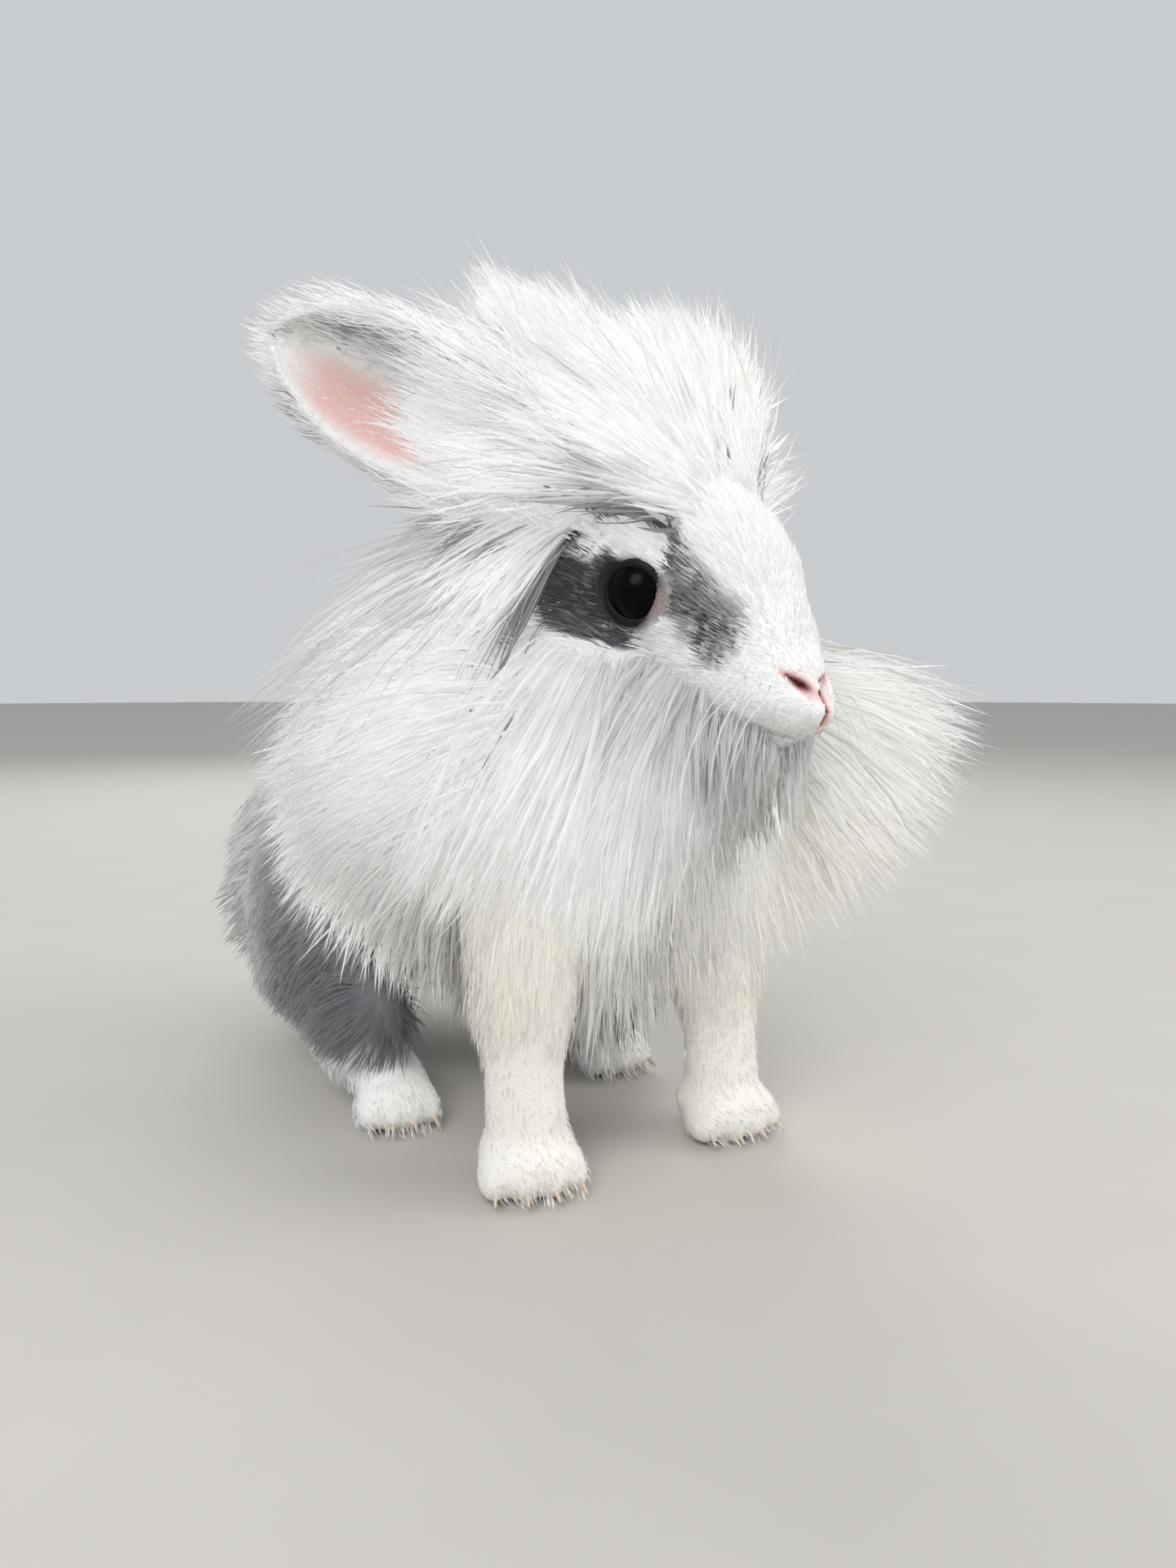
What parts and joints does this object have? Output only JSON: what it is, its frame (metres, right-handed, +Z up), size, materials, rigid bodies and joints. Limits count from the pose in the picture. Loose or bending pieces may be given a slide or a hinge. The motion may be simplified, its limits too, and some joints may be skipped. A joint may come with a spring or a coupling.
{
  "type": "lionhead rabbit",
  "caption": "A life-size sitting lionhead rabbit with upright forelegs, cupped ears, its head turned a little and a long tufted mane round the face",
  "frame": {"origin": "on the floor under the middle of the object's bounding box", "axes": "+Z up, the body faces -Y, the rabbit's left side is toward +X"},
  "size_m": [0.16, 0.237, 0.2112],
  "materials": {
    "white_coat": "soft white rabbit coat, matt",
    "grey_coat": "soft grey rabbit coat, matt",
    "pink_ear": "thin pink skin with short down",
    "dark_eye": "wet black eye, glossy"
  },
  "bodies": {
    "root": {"head": "white_coat", "neck": "white_coat", "torso": "grey_coat", "tail": "white_coat", "foreleg_left": "white_coat", "foreleg_right": "white_coat", "hindleg_left": "white_coat", "hindleg_right": "white_coat", "ear_left": "pink_ear", "ear_right": "pink_ear", "eye_left": "dark_eye", "eye_right": "dark_eye"}
  },
  "joints": []
}
